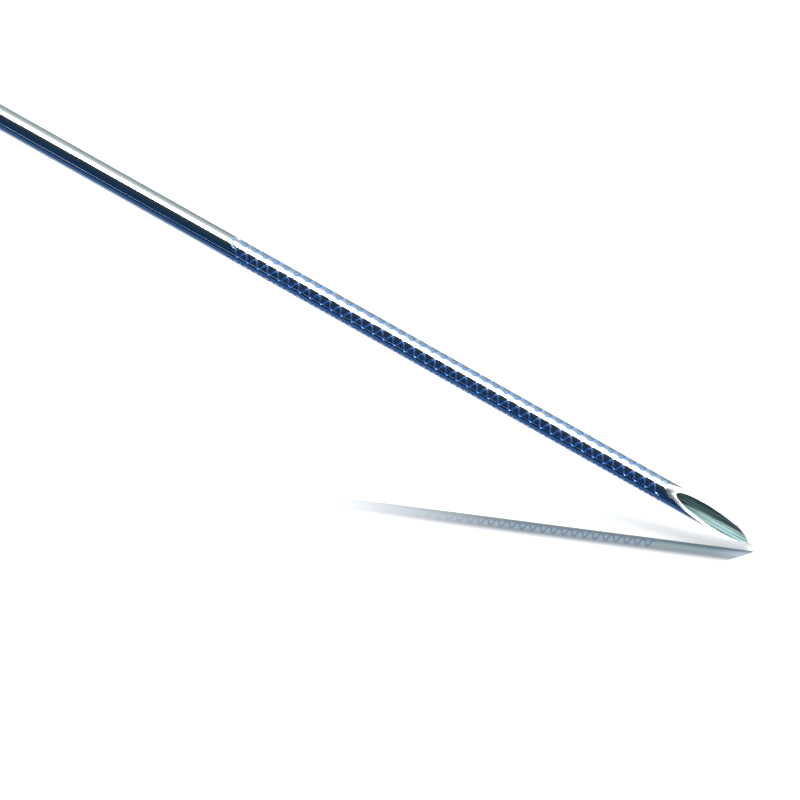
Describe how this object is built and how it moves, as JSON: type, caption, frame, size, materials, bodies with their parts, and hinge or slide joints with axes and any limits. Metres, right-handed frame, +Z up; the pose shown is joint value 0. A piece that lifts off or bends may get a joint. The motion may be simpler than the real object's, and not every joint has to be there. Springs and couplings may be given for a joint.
{
  "type": "endoscopic ultrasound needle",
  "caption": "Aspiration needle with an etched, lancet-ground cannula in a coiled sheath, on a sliding handle with a Luer-lock scope connector.",
  "frame": {"origin": "centre of the scope connector's mouth, on the handle's axis", "axes": "+X along the handle and out of the scope connector, +Z up from the surface that the object lies on"},
  "size_m": [0.4061, 0.1898, 0.0344],
  "materials": {
    "white_abs": "moulded white ABS, satin",
    "grey_abs": "moulded grey ABS",
    "scale_abs": "white acetal rod with a printed scale",
    "blue_abs": "moulded blue ABS",
    "hub_clear": "moulded translucent polycarbonate",
    "seal_rubber": "silicone rubber",
    "sheath_polymer": "extruded blue polymer over a coil",
    "steel": "drawn stainless steel",
    "cannula_steel": "bright stainless steel with an etched band"
  },
  "bodies": {
    "handle": {"front_barrel": "grey_abs", "barrel_retainer": "grey_abs", "sheath_anchor": "grey_abs", "sheath_root": "sheath_polymer", "guide_tube": "steel", "sleeve_seal": "seal_rubber", "grip_upper_shell": "white_abs", "grip_lower_shell": "white_abs", "front_ring": "blue_abs", "stem_bush": "blue_abs", "stem_seal": "seal_rubber", "grip_screws": "steel", "sheath_lead": "sheath_polymer", "sheath_coil": "sheath_polymer", "sheath_run": "sheath_polymer", "coil_clip": "blue_abs", "sheath_distal": "sheath_polymer", "sheath_end_ring": "steel"},
    "adjuster": {"luer_connector": "white_abs", "adjuster_sleeve": "white_abs"},
    "collar": {"luer_collar": "white_abs"},
    "sheath_lock": {"sheath_lock_knob": "blue_abs", "sheath_lock_shank": "steel"},
    "plunger": {"ruler_stem": "scale_abs", "plunger_upper_shell": "white_abs", "plunger_lower_shell": "white_abs", "plunger_screws": "steel", "plunger_nose": "blue_abs", "needle_hub": "hub_clear", "hub_washer": "seal_rubber", "needle_shaft": "steel"},
    "stop": {"stop_ring": "blue_abs"},
    "stop_lock": {"stop_lock_knob": "blue_abs", "stop_lock_shank": "steel"},
    "stylet": {"stylet_cap": "blue_abs", "stylet_wire": "steel"},
    "needle": {"needle_tip": "cannula_steel"},
    "stylet_end": {"stylet_tip": "steel"}
  },
  "joints": [
    {"name": "sheath_adjust", "type": "slide", "parent": "handle", "child": "adjuster", "axis": [1, 0, 0], "range_m": [-0.04, 0]},
    {"name": "collar_turn", "type": "hinge", "parent": "adjuster", "child": "collar", "pos_m": [-0.008, 0, 0], "axis": [1, 0, 0], "continuous": true},
    {"name": "sheath_lock_turn", "type": "hinge", "parent": "adjuster", "child": "sheath_lock", "pos_m": [-0.076, 0.02, 0], "axis": [0, 1, 0], "range_deg": [0, 360]},
    {"name": "plunger_slide", "type": "slide", "parent": "handle", "child": "plunger", "axis": [1, 0, 0], "range_m": [-0.045, 0]},
    {"name": "stop_slide", "type": "slide", "parent": "plunger", "child": "stop", "axis": [1, 0, 0], "range_m": [-0.038, 0]},
    {"name": "stop_lock_turn", "type": "hinge", "parent": "stop", "child": "stop_lock", "pos_m": [-0.21015, 0.02, 0], "axis": [0, 1, 0], "range_deg": [0, 360]},
    {"name": "stylet_slide", "type": "slide", "parent": "plunger", "child": "stylet", "axis": [1, 0, 0], "range_m": [-0.03, 0.0115]},
    {"name": "needle_slide", "type": "slide", "parent": "handle", "child": "needle", "axis": [0, -0.9527, -0.304], "range_m": [-0.045, 0]},
    {"name": "stylet_end_slide", "type": "slide", "parent": "needle", "child": "stylet_end", "axis": [0, -0.9527, -0.304], "range_m": [-0.03, 0.0115]}
  ],
  "couplings": [
    {"joint": "needle_slide", "follows": "plunger_slide", "ratio": 1},
    {"joint": "stylet_end_slide", "follows": "stylet_slide", "ratio": 1}
  ]
}
